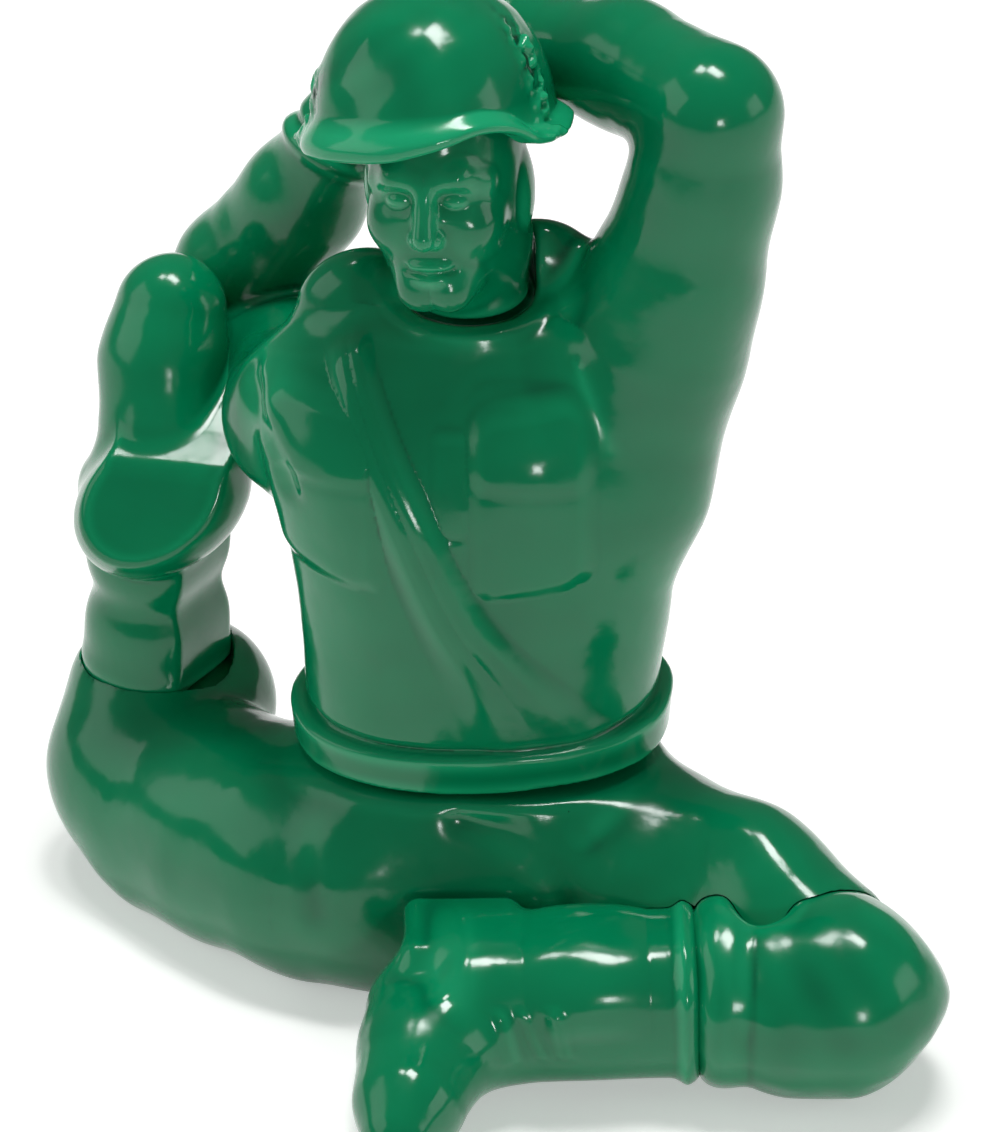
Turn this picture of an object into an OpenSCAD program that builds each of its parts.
// Toy soldier figure in moulded plastic, seated: the front leg is folded on the floor, the back boot
// stands up in the crook of the right elbow, and both hands are behind the helmet. Millimetres. The
// origin lies on the floor under the waist, the chest faces -Y, the figure's left is +X and +Z is up.

/* [Jacket] */
// Height of the waist seam above the floor
waist_height = 14.5; // [12.5:0.1:17]
// Height of the jacket from the waist seam to the collar
torso_height = 28.8; // [26:0.1:32]
// Half the width of the jacket at the waist
waist_half_width = 10.7; // [9.5:0.1:12]
// Half the depth of the jacket at the waist
waist_half_depth = 7.4; // [6.5:0.1:8.5]
// Height of the belt
belt_height = 2.5; // [1.5:0.1:3.5]
// How far the belt stands out
belt_thickness = 0.7; // [0.3:0.05:1.1]
// Width of a chest pocket
pocket_width = 6.6; // [5:0.1:8]
// Height of a chest pocket with its flap
pocket_height = 11; // [8:0.1:13]
// How far a pocket stands out
pocket_thickness = 0.55; // [0.2:0.05:0.9]
// Width of the crosswise strap
strap_width = 2.2; // [1.2:0.1:3.5]
// How far the strap stands out
strap_thickness = 0.7; // [0.3:0.05:1.1]

/* [Head] */
// Height of the head from chin to crown
head_height = 15.4; // [14:0.1:17]
// Half the width of the head
head_half_width = 5; // [4.4:0.1:5.6]
// Radius of the neck
neck_radius = 4; // [3.4:0.1:4.4]
// How far the nose stands out of the face
nose_length = 1.1; // [0.5:0.1:1.6]
// Half the width of the helmet
helmet_half_width = 6.8; // [6.3:0.1:7.2]
// Half the length of the helmet
helmet_half_length = 7.6; // [7.2:0.1:8.2]
// Height of the helmet's dome above its brim
helmet_rise = 8.6; // [8:0.1:9.4]
// Thickness of the helmet's shell
helmet_wall = 0.9; // [0.6:0.05:1.2]
// How far the brim stands out
brim_flare = 0.45; // [0.2:0.05:0.8]

/* [Arms] */
// Length of the left upper arm
upper_arm_length = 19.4; // [18:0.1:22]
// Radius of the upper arms
upper_arm_radius = 4.5; // [3.9:0.1:4.8]
// Radius of the forearms below the elbow
forearm_radius = 3.8; // [3.3:0.1:4.1]
// Radius of the wrists
wrist_radius = 2.8; // [2.3:0.1:3.1]

/* [Legs] */
// Half the distance between the hip seams
hip_half_span = 9; // [8:0.1:10]
// Radius of the thighs at the hip
thigh_radius = 7; // [6:0.1:7.1]
// Length of the front thigh from hip seam to knee
front_thigh_length = 15.8; // [14.5:0.1:18]
// Length of the back thigh from hip seam to knee
back_thigh_length = 15.4; // [14:0.1:17]
// Radius of the knees
knee_radius = 5.8; // [5.2:0.1:6.2]
// Length of the front trouser leg from knee to boot
front_cuff_length = 9.2; // [8.5:0.1:10.5]
// Height of the standing boot's rim above the floor
rim_height = 12.4; // [11.5:0.1:14]

/* [Boots] */
// Length of the foot from heel to toe
foot_length = 19; // [17.5:0.1:20]
// Half the width of the foot
foot_half_width = 3.8; // [3.3:0.1:4.2]
// Height of the foot from sole to instep
foot_height = 6.8; // [6:0.1:7.4]
// Radius of the boot shaft
shaft_radius = 4.6; // [4.2:0.1:4.9]
// Length of the boot shaft from ankle to rim
shaft_length = 13; // [12:0.1:14.5]
// How far the heel of the standing boot stands under the arch
heel_drop = 1.6; // [0.8:0.05:2]

/* [Fits] */
// Radius of the waist peg
waist_peg_radius = 4; // [3:0.1:5]
// Length of the waist peg
waist_peg_length = 5; // [3:0.1:6]
// Radius of the neck peg
neck_peg_radius = 2.4; // [1.8:0.1:2.8]
// Length of the neck peg
neck_peg_length = 4; // [2.5:0.1:5]
// Radius of the pegs in the limbs
limb_peg_radius = 1.8; // [1.2:0.1:2.2]
// Length of the pegs in the limbs
limb_peg_length = 3; // [2:0.1:3.5]
// Clearance round a peg
peg_clearance = 0.05; // [0.02:0.01:0.1]
// Gap between pieces that turn against each other
turning_gap = 0.35; // [0.3:0.05:0.5]
// Gap of a glued seam
glue_gap = 0.05; // [0.02:0.01:0.1]

/* [Hidden] */
plastic = "#00703f";
$fn = 64;

// How far a cutting tool reaches past what it cuts
overrun = torso_height / 20;
// Points round a limb, and steps between two of its stations
limb_sides = 26;
limb_steps = 3;

// Vector helpers
function unit(v) = v / norm(v);
function across(v, way) = unit(v - (v * way) * way);
function blend(a, b, share) = a + (b - a) * share;
function ease(share) = share <= 0 ? 0 : share >= 1 ? 1 : share * share * (3 - 2 * share);
function sharp(value, power) = sign(value) * pow(abs(value), power);

// A smooth curve through stations, each a row of numbers
function between(a, b, c, d, t) =
    b + (c - a) * t / 2 + (2 * a - 5 * b + 4 * c - d) * t * t / 2 + (3 * b - a - 3 * c + d) * t * t * t / 2;
function smoothed(rows, steps) = let (last = len(rows) - 1) concat(
    [for (i = [0 : last - 1]) for (k = [0 : steps - 1])
        between(rows[max(i - 1, 0)], rows[i], rows[i + 1], rows[min(i + 2, last)], k / steps)],
    [rows[last]]);

// Rings of a limb: rows are [x, y, z, half width, half depth], the half width lying along side_way
function place(row) = [row[0], row[1], row[2]];
function tangent(rows, i) = unit(place(rows[min(i + 1, len(rows) - 1)]) - place(rows[max(i - 1, 0)]));
function ring(centre, way, side_way, half_width, half_depth, sides, power) =
    let (u = across(side_way, way), w = cross(way, u))
    [for (j = [0 : sides - 1]) let (a = 360 * j / sides)
        centre + u * half_width * sharp(cos(a), power) + w * half_depth * sharp(sin(a), power)];
function dome_height(row) = (row[3] + row[4]) / 2;
function domed(row, way) = [for (a = [30, 55, 75])
    concat(place(row) + way * dome_height(row) * sin(a), [row[3] * cos(a), row[4] * cos(a)])];
function kept(p, low, high) = [p[0], p[1], min(max(p[2], low), high)];

// A closed skin over rings of points, with a middle point at each end
module skin(rings, first, last) {
    n = len(rings[0]);
    rows = len(rings);
    points = concat([for (r = rings) for (p = r) p], [first, last]);
    walls = [for (i = [0 : rows - 2]) for (j = [0 : n - 1]) let (k = (j + 1) % n)
        each [[i * n + j, i * n + n + j, i * n + k], [i * n + k, i * n + n + j, i * n + n + k]]];
    front = [for (j = [0 : n - 1]) [rows * n, j, (j + 1) % n]];
    back = [for (j = [0 : n - 1]) [rows * n + 1, (rows - 1) * n + (j + 1) % n, (rows - 1) * n + j]];
    polyhedron(points = points, faces = concat(front, walls, back), convexity = 8);
}

// A limb along stations, from start_way to end_way, each end flat or with a dome
module limb(stations, side_way, start_way, end_way, start_dome = false, end_dome = false, low = 0,
            high = 10 * torso_height, power = 1) {
    rows = smoothed(stations, limb_steps);
    last = len(rows) - 1;
    ways = [for (i = [0 : last]) i == 0 ? start_way : i == last ? end_way : tangent(rows, i)];
    before = start_dome ? domed(rows[0], -start_way) : [];
    after = end_dome ? domed(rows[last], end_way) : [];
    all_rows = concat([for (i = [len(before) - 1 : -1 : 0]) before[i]], rows, after);
    all_ways = concat([for (r = before) start_way], ways, [for (r = after) end_way]);
    rings = [for (i = [0 : len(all_rows) - 1])
        let (r = all_rows[i],
             loop = ring(place(r), all_ways[i], side_way, r[3], r[4], limb_sides, power))
        [for (p = loop) kept(p, low, high)]];
    first_tip = place(rows[0]) - (start_dome ? start_way * dome_height(rows[0]) : [0, 0, 0]);
    last_tip = place(rows[last]) + (end_dome ? end_way * dome_height(rows[last]) : [0, 0, 0]);
    skin(rings, kept(first_tip, low, high), kept(last_tip, low, high));
}

// Turns local z to a direction at a place
module aimed(at, way) {
    translate(at)
        rotate([0, acos(way[2]), atan2(way[1], way[0])])
            children();
}

// A peg that grows out of a flat end, with its root in the piece, and the hole that takes it
module peg(at, way, radius, length) {
    aimed(at, way)
        translate([0, 0, -length])
            cylinder(h = 2 * length, r = radius);
}
module peg_hole(at, way, radius, length) {
    aimed(at, way)
        translate([0, 0, -overrun])
            cylinder(h = length + 2 * peg_clearance + overrun, r = radius + peg_clearance);
}

// Everything on the far side of a seam
module beyond(at, way) {
    reach = 2 * torso_height;
    aimed(at, way)
        translate([-reach / 2, -reach / 2, 0])
            cube([reach, reach, reach]);
}

// The round place that a leg leaves for a boot's shaft
module boot_seat(rim, way, radius) {
    aimed(rim, way)
        cylinder(h = shaft_length, r = radius + 2 * glue_gap);
}

// Skeleton: the seams and joints, worked out from the sizes above
pelvis_top = waist_height - turning_gap / 2;
torso_bottom = waist_height + turning_gap / 2;
torso_rise = torso_height - turning_gap;
collar = [-0.07 * waist_half_width, 0.4 * waist_half_depth, torso_bottom + torso_rise];

left_shoulder_way = unit([0.85, 0, 0.53]);
left_shoulder = [0.8 * waist_half_width, 0.2 * waist_half_depth, torso_bottom + 0.79 * torso_rise];
left_elbow = left_shoulder + upper_arm_length * unit([0.25, 0.02, 0.968]);
right_shoulder_way = unit([-0.45, 0.88, -0.15]);
right_shoulder = [-1.04 * waist_half_width, 0.78 * waist_half_depth, torso_bottom + 0.71 * torso_rise];

left_hip_way = unit([0.8, -0.6, 0]);
left_hip = [0.9 * hip_half_span, -0.47 * hip_half_span, thigh_radius];
left_knee_way = unit([0.8, -0.59, -0.05]);
left_knee = left_hip + front_thigh_length * left_knee_way;
shin_way = unit([-1, -0.01, -0.03]);
shin_start = [left_knee[0] + 0.08 * knee_radius, left_knee[1] - 0.345 * knee_radius, 1.065 * knee_radius];
left_rim = shin_start + front_cuff_length * shin_way;

right_hip_way = unit([-0.85, 0.52, 0]);
right_hip = [-1.04 * hip_half_span, -0.31 * hip_half_span, thigh_radius];
right_knee_way = unit([-0.72, 0.69, 0]);
right_knee = right_hip + back_thigh_length * right_knee_way;
right_rim = [right_knee[0] + 0.05 * knee_radius, right_knee[1] + 0.45 * knee_radius, rim_height];
right_shaft_way = unit([0.03, 0.03, 1]);
right_ankle = right_rim + shaft_length * right_shaft_way;
foot_lean = 28;
right_foot_way = unit([0.09, sin(foot_lean), cos(foot_lean)]);
right_sole_way = across([-0.2, -cos(foot_lean), sin(foot_lean)], right_foot_way);
left_foot_way = unit([-0.08, -1, -0.14]);
left_shaft_radius = 1.03 * shaft_radius;
left_ankle = left_rim + shaft_length * shin_way;
ankle_back_share = 0.25;
elbow_share = 0.45;
right_elbow = right_ankle + elbow_share * foot_length * right_foot_way + [0.34, 0, 0.13] * forearm_radius
    - (1.42 * forearm_radius + 2 * turning_gap) * right_sole_way;

// Head and helmet: both are tipped back and to the side, the helmet more than the face under it
neck_foot = collar + [0, 0, turning_gap];
helmet_turn = 24;
helmet_tip = 23;
helmet_roll = 12;
helmet_up = unit([sin(helmet_tip) * sin(helmet_turn) - sin(helmet_roll),
                  sin(helmet_tip) * cos(helmet_turn), cos(helmet_tip)]);
helmet_front = across([-sin(helmet_turn), -cos(helmet_turn), 0], helmet_up);
helmet_side = cross(helmet_up, helmet_front);
face_turn = 12;
face_tip = 10;
face_roll = 5;
face_up = unit([sin(face_tip) * sin(face_turn) - sin(face_roll),
                sin(face_tip) * cos(face_turn), cos(face_tip)]);
face_front = across([-sin(face_turn), -cos(face_turn), 0], face_up);
face_side = cross(face_up, face_front);
helmet_middle = neck_foot + [-0.38 * head_half_width, -0.08 * head_half_width, 0.72 * head_height];
hands = helmet_middle +
    [0, helmet_half_length + 1.6 * wrist_radius + 5.6 * turning_gap, -0.15 * wrist_radius];

// Jacket: rows of [height share, middle x share, middle y share, half width share, half depth share]
torso_shares = [
    [0, 0, 0, 1, 1],
    [0.26, 0, 0, 1.02, 0.99],
    [0.47, 0.02, 0.03, 1.08, 1.01],
    [0.64, 0.03, 0.11, 1.21, 1.02],
    [0.78, -0.08, 0.22, 1.29, 0.93],
    [0.88, -0.1, 0.32, 1.15, 0.78],
    [0.95, -0.08, 0.38, 0.8, 0.66],
    [1, -0.07, 0.4, 0.5, 0.62]];
torso_fine = smoothed(torso_shares, 5);
torso_power = 0.88;
function torso_share(level, column) = lookup(level, [for (r = torso_fine) [r[0], r[column]]]);

// Relief on the chest: pockets, placket, strap and belt, as a height over the plain jacket
chest_middle = -0.3 * waist_half_width;
placket_width = 0.8 * strap_width;
pocket_middle = torso_bottom + 0.67 * torso_rise;
pocket_offset = 0.92 * pocket_width;
placket_middle = chest_middle + 0.22 * pocket_width;
strap_top = -0.85 * waist_half_width;
strap_foot = 0.5 * waist_half_width;
strap_slope = atan((strap_foot - strap_top) / torso_rise);
relief_edge = strap_width / 3;
function raised(distance, half_width) = ease((half_width - abs(distance)) / relief_edge + 1);
function strap_line(z) = blend(strap_foot, strap_top, (z - torso_bottom) / torso_rise);
function chest_relief(x, z) = max(
    pocket_thickness * raised(x - chest_middle - pocket_offset, pocket_width / 2) *
        raised(z - pocket_middle, pocket_height / 2),
    pocket_thickness * raised(x - chest_middle + pocket_offset, pocket_width / 2) *
        raised(z - pocket_middle, pocket_height / 2),
    pocket_thickness / 2 * raised(x - placket_middle, placket_width / 2),
    strap_thickness * ease(1.4 - abs(x - strap_line(z)) * cos(strap_slope) / strap_width));
front_sides = 56;
back_sides = 20;
torso_angles = concat([for (j = [0 : front_sides - 1]) 180 + 180 * j / front_sides],
                      [for (j = [0 : back_sides - 1]) 180 * j / back_sides]);
belt_share = belt_height / torso_rise;
torso_rings = 36;
torso_levels = concat([0, 0.9 * belt_share, belt_share],
                      [for (k = [1 : torso_rings]) blend(1.1 * belt_share, 1, k / torso_rings)]);
function torso_point(level, angle) =
    let (half_width = waist_half_width * torso_share(level, 3),
         half_depth = waist_half_depth * torso_share(level, 4),
         x = waist_half_width * torso_share(level, 1) + half_width * sharp(cos(angle), torso_power),
         y = waist_half_depth * torso_share(level, 2) + half_depth * sharp(sin(angle), torso_power),
         z = torso_bottom + level * torso_rise,
         fade = ease((0.97 - level) * 20),
         front = sin(angle) < 0 ? chest_relief(x, z) * ease(-3 * sin(angle)) * fade : 0,
         belt = level < belt_share ? belt_thickness : 0,
         out = max(front, belt) * unit([cos(angle) / half_width, sin(angle) / half_depth]))
    [x + out[0], y + out[1], z];

module torso() {
    rings = [for (level = torso_levels) [for (angle = torso_angles) torso_point(level, angle)]];
    left_hump = collar + [1.1, 0.48, 0.3] * neck_radius;
    right_hump = collar + [-1.45, 0.36, -0.72] * neck_radius;
    up = [0, 0, 1];
    color(plastic)
        difference() {
            union() {
                skin(rings, [0, 0, torso_bottom], collar);
                limb([concat(left_hump - 0.6 * neck_radius * up, [neck_radius, 0.52 * neck_radius]),
                      concat(left_hump, [neck_radius, 0.52 * neck_radius])],
                     [1, 0, 0], up, up, start_dome = true, end_dome = true);
                limb([concat(right_hump - 0.1 * neck_radius * up, [1.1 * neck_radius, 0.75 * neck_radius]),
                      concat(right_hump, [1.1 * neck_radius, 0.75 * neck_radius])],
                     [1, 0, 0], up, up, start_dome = true, end_dome = true);
            }
            translate(collar)
                cylinder(h = torso_height, r = neck_radius + 1.5 * turning_gap);
            peg_hole([0, 0, torso_bottom], [0, 0, 1], waist_peg_radius, waist_peg_length + turning_gap);
            peg_hole(collar, [0, 0, -1], neck_peg_radius, neck_peg_length + turning_gap);
            beyond(left_shoulder, left_shoulder_way);
            aimed(right_shoulder, right_shoulder_way)
                cylinder(h = torso_height, r = 1.9 * upper_arm_radius);
            peg_hole(left_shoulder, -left_shoulder_way, limb_peg_radius, limb_peg_length);
            peg_hole(right_shoulder, -right_shoulder_way, limb_peg_radius, limb_peg_length);
        }
}

// Seat of the trousers: a saddle from hip to hip, flat under the waist and on the floor
module pelvis() {
    seat_depth = 1.13 * waist_half_depth;
    seat_height = 0.6 * waist_height;
    seat_middle = 0.45 * waist_height;
    stations = [
        concat(right_hip + overrun * right_hip_way, [thigh_radius, thigh_radius]),
        [-0.42 * hip_half_span, -0.22 * hip_half_span, seat_middle, seat_depth, seat_height],
        [0.3 * hip_half_span, -0.24 * hip_half_span, seat_middle, seat_depth, seat_height],
        concat(left_hip + overrun * left_hip_way, [thigh_radius, thigh_radius])];
    hips = [
        [0, 0, 0.25 * waist_height, 0.95 * waist_half_width, 0.97 * waist_half_depth],
        [0, 0, pelvis_top, 0.95 * waist_half_width, 0.97 * waist_half_depth]];
    color(plastic)
        difference() {
            union() {
                limb(stations, [0, 1, 0], -right_hip_way, left_hip_way, high = pelvis_top, power = 0.85);
                limb(hips, [1, 0, 0], [0, 0, 1], [0, 0, 1]);
                peg([0, 0, pelvis_top], [0, 0, 1], waist_peg_radius, waist_peg_length);
            }
            beyond(right_hip, right_hip_way);
            beyond(left_hip, left_hip_way);
            peg_hole(right_hip, -right_hip_way, limb_peg_radius, limb_peg_length);
            peg_hole(left_hip, -left_hip_way, limb_peg_radius, limb_peg_length);
        }
}

// Head: rows of [height share, forward share, half width share, half depth share], along the face
head_shares = [
    [0, 0.3, 0.42, 0.5],
    [0.05, 0.26, 0.62, 0.8],
    [0.18, 0.14, 0.86, 1],
    [0.34, 0.06, 0.97, 1.08],
    [0.5, 0, 1, 1.12],
    [0.62, -0.06, 0.98, 1.06],
    [0.77, -0.12, 0.82, 0.88],
    [0.88, -0.16, 0.56, 0.6],
    [0.94, -0.17, 0.26, 0.28]];
brim_share = 0.54;
head_steps = 2;
head_sides = 40;
nose_share = 0.34;
brow_share = 0.46;
chin_share = 0.08;
function face_relief(level, angle) =
    let (side = abs(cos(angle)),
         nose = ease(1 - abs(level - nose_share) / 0.1) * ease(1 - side / 0.24),
         chin = ease(1 - abs(level - chin_share) / 0.08) * ease(1 - side / 0.45),
         brow = ease(1 - abs(level - brow_share) / 0.07) * ease(1 - side / 0.8))
    sin(angle) <= 0 ? 0 : nose_length * max(nose, 0.4 * chin, 0.35 * brow);
function head_middle(row) = helmet_middle + (row[0] - brim_share) * head_height * face_up +
    row[1] * head_half_width * face_front;
function head_ring(row) = [for (j = [0 : head_sides - 1])
    let (a = -360 * j / head_sides, out = face_relief(row[0], a))
        head_middle(row) + face_side * cos(a) * (head_half_width * row[2] + out) +
            face_front * sin(a) * (head_half_width * row[3] + out)];

module head() {
    rows = smoothed(head_shares, head_steps);
    rings = [for (r = rows) head_ring(r)];
    skull = helmet_middle - 0.12 * head_height * face_up;
    neck = [
        concat(neck_foot, [neck_radius, neck_radius]),
        concat(blend(neck_foot, skull, 0.5), [0.93 * neck_radius, 0.96 * neck_radius]),
        concat(skull, [0.9 * neck_radius, 0.9 * neck_radius])];
    color(plastic)
        union() {
            skin(rings, head_middle(rows[0]), head_middle(rows[len(rows) - 1]));
            limb(neck, [1, 0, 0], [0, 0, 1], face_up);
            peg(neck_foot, [0, 0, -1], neck_peg_radius, neck_peg_length);
        }
}

// Helmet: a shell with a flared brim, its rings running from the crown over the brim to the inside
helmet_sides = 48;
function helmet_ring(out, rise) = [for (j = [0 : helmet_sides - 1]) let (a = -360 * j / helmet_sides)
    helmet_middle + helmet_side * cos(a) * (helmet_half_width + out[0]) * out[1] +
        helmet_front * sin(a) * (helmet_half_length + out[0]) * out[1] + helmet_up * rise];
dome_angles = [80, 68, 56, 44, 32, 20, 10];
dome_power = 0.89;
function dome_ring(angle, wall) =
    helmet_ring([-wall, sharp(cos(angle), dome_power)], (helmet_rise - wall) * sharp(sin(angle), dome_power));

module helmet() {
    rings = concat(
        [for (a = dome_angles) dome_ring(a, 0)],
        [helmet_ring([0, 1], helmet_wall),
         helmet_ring([brim_flare, 1], helmet_wall / 3),
         helmet_ring([brim_flare, 1], -helmet_wall / 3),
         helmet_ring([-helmet_wall, 1], 0)],
        [for (k = [len(dome_angles) - 1 : -1 : 0]) dome_ring(dome_angles[k], helmet_wall)]);
    crown = helmet_middle + helmet_up * helmet_rise;
    color(plastic)
        skin(rings, crown, crown - helmet_up * helmet_wall);
}

// Left arm: up from the shoulder, back over the elbow, and the hand behind the helmet
module left_arm() {
    root = left_shoulder + glue_gap * left_shoulder_way;
    low_root = root - 0.12 * upper_arm_radius * across([0, 0, 1], left_shoulder_way);
    back = hands - left_elbow;
    upper = [
        concat(low_root - overrun * left_shoulder_way, [1.22 * upper_arm_radius, 1.75 * upper_arm_radius]),
        concat(blend(left_shoulder, left_elbow, 0.3) + [0.18 * upper_arm_radius, 0, 0],
               [1.08 * upper_arm_radius, 1.08 * upper_arm_radius]),
        concat(blend(left_shoulder, left_elbow, 0.52) + [0.22 * upper_arm_radius, 0, 0],
               [0.99 * upper_arm_radius, 0.99 * upper_arm_radius]),
        concat(blend(left_shoulder, left_elbow, 0.78) + [0.18 * upper_arm_radius, 0, 0],
               [0.89 * upper_arm_radius, 0.89 * upper_arm_radius]),
        concat(left_elbow, [1.05 * forearm_radius, 1.05 * forearm_radius])];
    fore = [
        concat(left_elbow, [1.05 * forearm_radius, 1.05 * forearm_radius]),
        concat(left_elbow + 0.35 * back + [0.2, 0.26, 0.14] * forearm_radius,
               [forearm_radius, forearm_radius]),
        concat(left_elbow + 0.68 * back + [0.13, 0.18, 0.03] * forearm_radius,
               [1.07 * wrist_radius, 1.07 * wrist_radius]),
        concat(left_elbow + 0.95 * back, [0.8 * wrist_radius, 0.95 * wrist_radius])];
    color(plastic)
        union() {
            difference() {
                limb(upper, [0, -1, 0], left_shoulder_way, [0, 0, 1], end_dome = true);
                beyond(root, -left_shoulder_way);
            }
            limb(fore, [0, 0, 1], unit(back), unit(back), start_dome = true, end_dome = true);
            peg(root, -left_shoulder_way, limb_peg_radius, limb_peg_length);
        }
}

// Right arm: back from the shoulder, round behind the instep of the standing boot, and up to the helmet
module right_arm() {
    root = right_shoulder + glue_gap * right_shoulder_way;
    wrist = hands + [-2.14, -0.1, -2.79] * wrist_radius;
    hand_way = unit([0.8, 0.1, 0.6]);
    elbow_way = unit(right_elbow - right_shoulder);
    side_way = [0.7, 0.3, -0.65];
    upper = [
        concat(root - overrun * right_shoulder_way + [-0.13, 0, -0.25] * upper_arm_radius,
               [1.15 * upper_arm_radius, 1.15 * upper_arm_radius]),
        concat([right_shoulder[0] + 0.14 * upper_arm_radius, blend(root, right_elbow, 0.45)[1],
                blend(root, right_elbow, 0.65)[2]], [0.97 * upper_arm_radius, 0.97 * upper_arm_radius]),
        concat(right_elbow, [0.97 * forearm_radius, 0.97 * forearm_radius])];
    fore = [
        concat(right_elbow, [0.97 * forearm_radius, 0.97 * forearm_radius]),
        concat(blend(right_elbow, wrist, 0.3) + [-0.1, 0.13, -0.08] * forearm_radius,
               [1.12 * forearm_radius, 1.12 * forearm_radius]),
        concat(blend(right_elbow, wrist, 0.7) - [0, 0, 0.08 * forearm_radius],
               [0.97 * forearm_radius, 0.97 * forearm_radius]),
        concat(wrist, [1.04 * wrist_radius, 1.04 * wrist_radius]),
        concat(hands + [-1.28, 0, -1.07] * wrist_radius, [0.82 * wrist_radius, 0.82 * wrist_radius])];
    color(plastic)
        union() {
            difference() {
                limb(upper, side_way, right_shoulder_way, elbow_way, end_dome = true);
                beyond(root, -right_shoulder_way);
            }
            limb(fore, side_way, unit(wrist - right_elbow), hand_way, start_dome = true, end_dome = true);
            peg(root, -right_shoulder_way, limb_peg_radius, limb_peg_length);
        }
}

// Front thigh, scooped where the lower leg is folded against it
module left_thigh() {
    root = left_hip + glue_gap * left_hip_way;
    stations = [
        concat(root, [thigh_radius, thigh_radius]),
        concat(blend(left_hip, left_knee, 0.45) + [0.04, 0.04, 0.17] * thigh_radius,
               [0.85 * thigh_radius, 0.85 * thigh_radius]),
        concat(left_knee + [-0.05, 0.09, 0.1] * knee_radius, [0.95 * knee_radius, 0.95 * knee_radius])];
    color(plastic)
        difference() {
            union() {
                limb(stations, [0, 0, 1], left_hip_way, left_knee_way, end_dome = true);
                peg(root, -left_hip_way, limb_peg_radius, limb_peg_length);
            }
            lower_leg(2 * glue_gap);
            boot_seat(left_rim, shin_way, left_shaft_radius);
        }
}

// Front knee and the bloused trouser leg, with its gathered ring over the boot
cuff_shares = [[0, 0.86], [0.12, 0.98], [0.32, 0.99], [0.5, 0.9], [0.72, 1.02], [1, 1.05]];
module lower_leg(grown) {
    start = left_rim - (glue_gap - grown) * shin_way;
    stations = [for (r = cuff_shares)
        concat(blend(start, shin_start, r[0]), [1, 1] * (r[1] * knee_radius + grown))];
    limb(stations, [0, 1, 1], -shin_way, -shin_way, end_dome = true);
}

module left_shin() {
    color(plastic)
        difference() {
            lower_leg(0);
            peg_hole(left_rim - glue_gap * shin_way, -shin_way, limb_peg_radius, limb_peg_length);
        }
}

// Back thigh and knee, and the trouser leg that stands up into the boot
module right_leg() {
    root = right_hip + glue_gap * right_hip_way;
    rim = right_rim - glue_gap * right_shaft_way;
    stations = [
        concat(root - overrun * right_hip_way, [thigh_radius, thigh_radius]),
        concat(blend(right_hip, right_knee, 0.5) - [0, 0.13, 0.11] * thigh_radius,
               [0.97 * thigh_radius, 0.97 * thigh_radius]),
        concat(right_knee - [0.03, 0.05, 0.14] * knee_radius, [1.14 * knee_radius, 1.14 * knee_radius])];
    underside = [for (share = [0.15, 0.75])
        concat(blend(right_hip, right_knee, share) - [0.11, 0.13, 0.4] * thigh_radius,
               [0.71 * thigh_radius, 0.71 * thigh_radius])];
    shin = [
        concat([right_knee[0], right_knee[1], knee_radius], [knee_radius, knee_radius]),
        concat(rim - [0.07, 0, 0.5] * shaft_radius, [1.11 * shaft_radius, 1.11 * shaft_radius]),
        concat(rim, [0.96 * shaft_radius, 0.96 * shaft_radius])];
    calf_middle = [right_knee[0] + 0.43 * knee_radius, right_knee[1] + 0.64 * knee_radius, 1.5 * knee_radius];
    calf = [
        concat(calf_middle - [0, 0, 0.2 * knee_radius], [0.95 * knee_radius, 0.86 * knee_radius]),
        concat(calf_middle, [0.95 * knee_radius, 0.86 * knee_radius])];
    color(plastic)
        difference() {
            union() {
                difference() {
                    union() {
                        limb(stations, [0, 0, 1], right_hip_way, right_knee_way, end_dome = true);
                        limb(underside, [0, 0, 1], right_knee_way, right_knee_way, start_dome = true,
                             end_dome = true);
                    }
                    beyond(root, -right_hip_way);
                }
                limb(shin, [1, 0, 0], [0, 0, 1], right_shaft_way);
                limb(calf, [1, 0, 0], [0, 0, 1], [0, 0, 1], start_dome = true, end_dome = true);
                peg(root, -right_hip_way, limb_peg_radius, limb_peg_length);
            }
            boot_seat(rim, right_shaft_way, shaft_radius);
            peg_hole(rim, -right_shaft_way, limb_peg_radius, limb_peg_length);
        }
}

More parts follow.
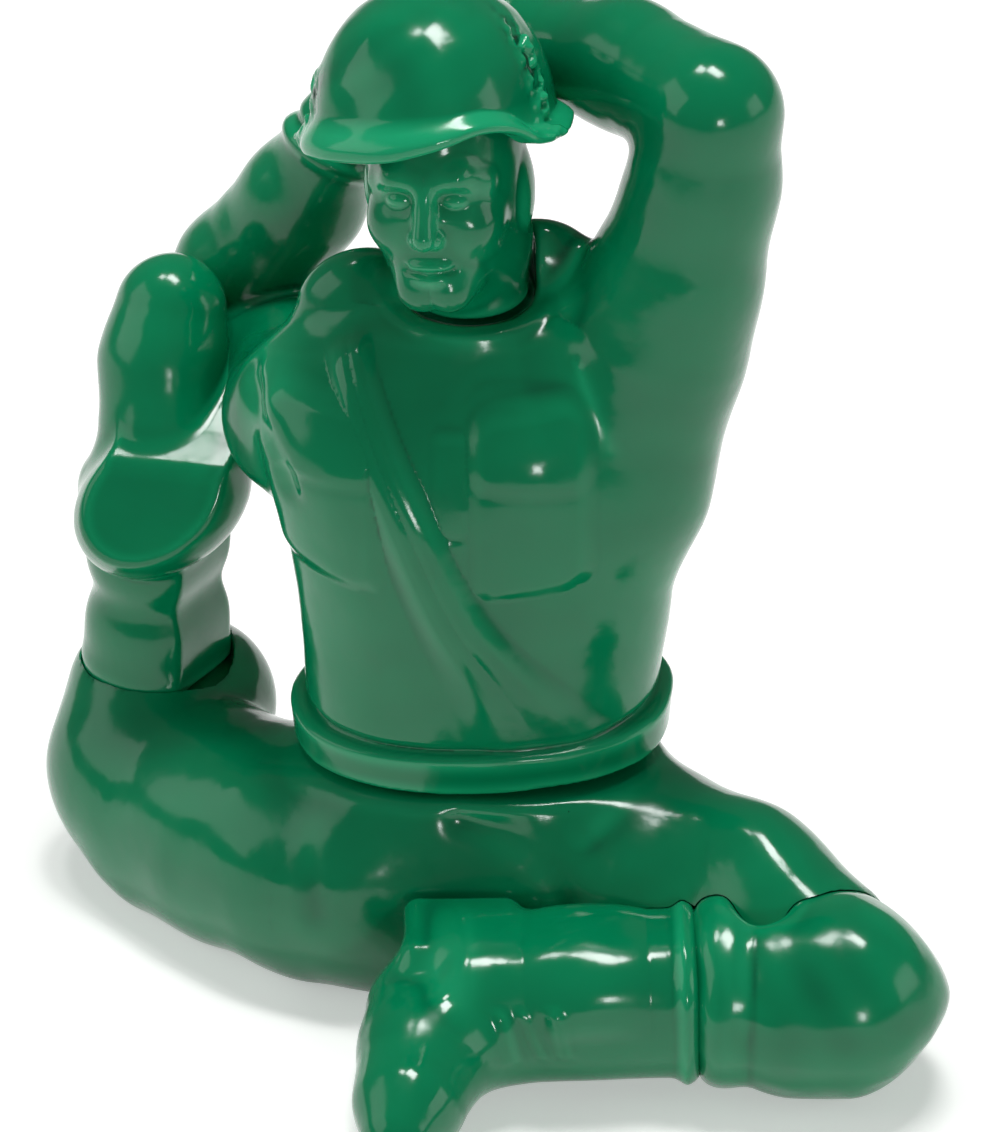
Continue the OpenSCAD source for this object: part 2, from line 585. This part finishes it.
// Boots: rows of [length share, half width share, top share, sole lift share]. The standing boot's heel is
// a barrel under the arch; the lying boot's heel is a block set back behind its sole
standing_foot_shares = [
    [0, 0.75, 0.74, 0.2],
    [0.04, 1.08, 0.94, 0],
    [0.13, 1.3, 1.02, 0],
    [0.22, 1.32, 1.06, 0],
    [0.29, 1.18, 1.08, 0],
    [0.375, 1, 1.05, 0.95],
    [0.5, 0.97, 1.03, 0.95],
    [0.64, 0.97, 1, 0.9],
    [0.78, 0.96, 0.96, 0.9],
    [0.9, 0.86, 0.9, 1],
    [0.97, 0.6, 0.78, 1.4],
    [1, 0.3, 0.66, 2]];
lying_foot_shares = [
    [0, 0.75, 0.98, 2],
    [0.03, 0.94, 1.04, 1.9],
    [0.22, 0.97, 1.1, 1.9],
    [0.3, 0.94, 1.1, 1.5],
    [0.38, 0.9, 1.1, 0.4],
    [0.46, 0.88, 1.1, 0.2],
    [0.6, 0.87, 1, 0.15],
    [0.72, 0.84, 0.9, 0.2],
    [0.83, 0.74, 0.82, 0.3],
    [0.91, 0.52, 0.7, 0.8],
    [0.95, 0.26, 0.58, 1.4]];
foot_sides = 32;
function foot_ring(row, ankle, foot_way, sole_way) =
    let (sole = ankle + foot_height * sole_way + (row[0] - ankle_back_share) * foot_length * foot_way,
         side = cross(foot_way, sole_way),
         low = row[3] * heel_drop, half = (foot_height * row[2] - low) / 2)
    [for (j = [0 : foot_sides - 1]) let (a = 360 * j / foot_sides)
        sole + side * foot_half_width * row[1] * sharp(cos(a), 0.8) -
            sole_way * (low + half + max(half * 1.12 * sharp(sin(a), 0.9), -half))];
function ring_middle(points) = (points[0] + points[len(points) / 2]) / 2;

module boot(foot_rows, ankle, rim, shaft_way, foot_way, sole_way, radius) {
    rings = [for (r = foot_rows) foot_ring(r, ankle, foot_way, sole_way)];
    shaft_foot = 0.3 * radius;
    start = rim + glue_gap * shaft_way;
    color(plastic)
        union() {
            skin(rings, ring_middle(rings[0]), ring_middle(rings[len(rings) - 1]));
            aimed(start, shaft_way)
                cylinder(h = shaft_length + shaft_foot, r = radius);
            peg(start, -shaft_way, limb_peg_radius, limb_peg_length);
        }
}

module left_boot() {
    boot(lying_foot_shares, left_ankle, left_rim, shin_way, left_foot_way, across(shin_way, left_foot_way),
         left_shaft_radius);
}

module right_boot() {
    boot(standing_foot_shares, right_ankle, right_rim, right_shaft_way, right_foot_way, right_sole_way,
         shaft_radius);
}

torso();
pelvis();
head();
helmet();
left_arm();
right_arm();
left_thigh();
left_shin();
left_boot();
right_leg();
right_boot();
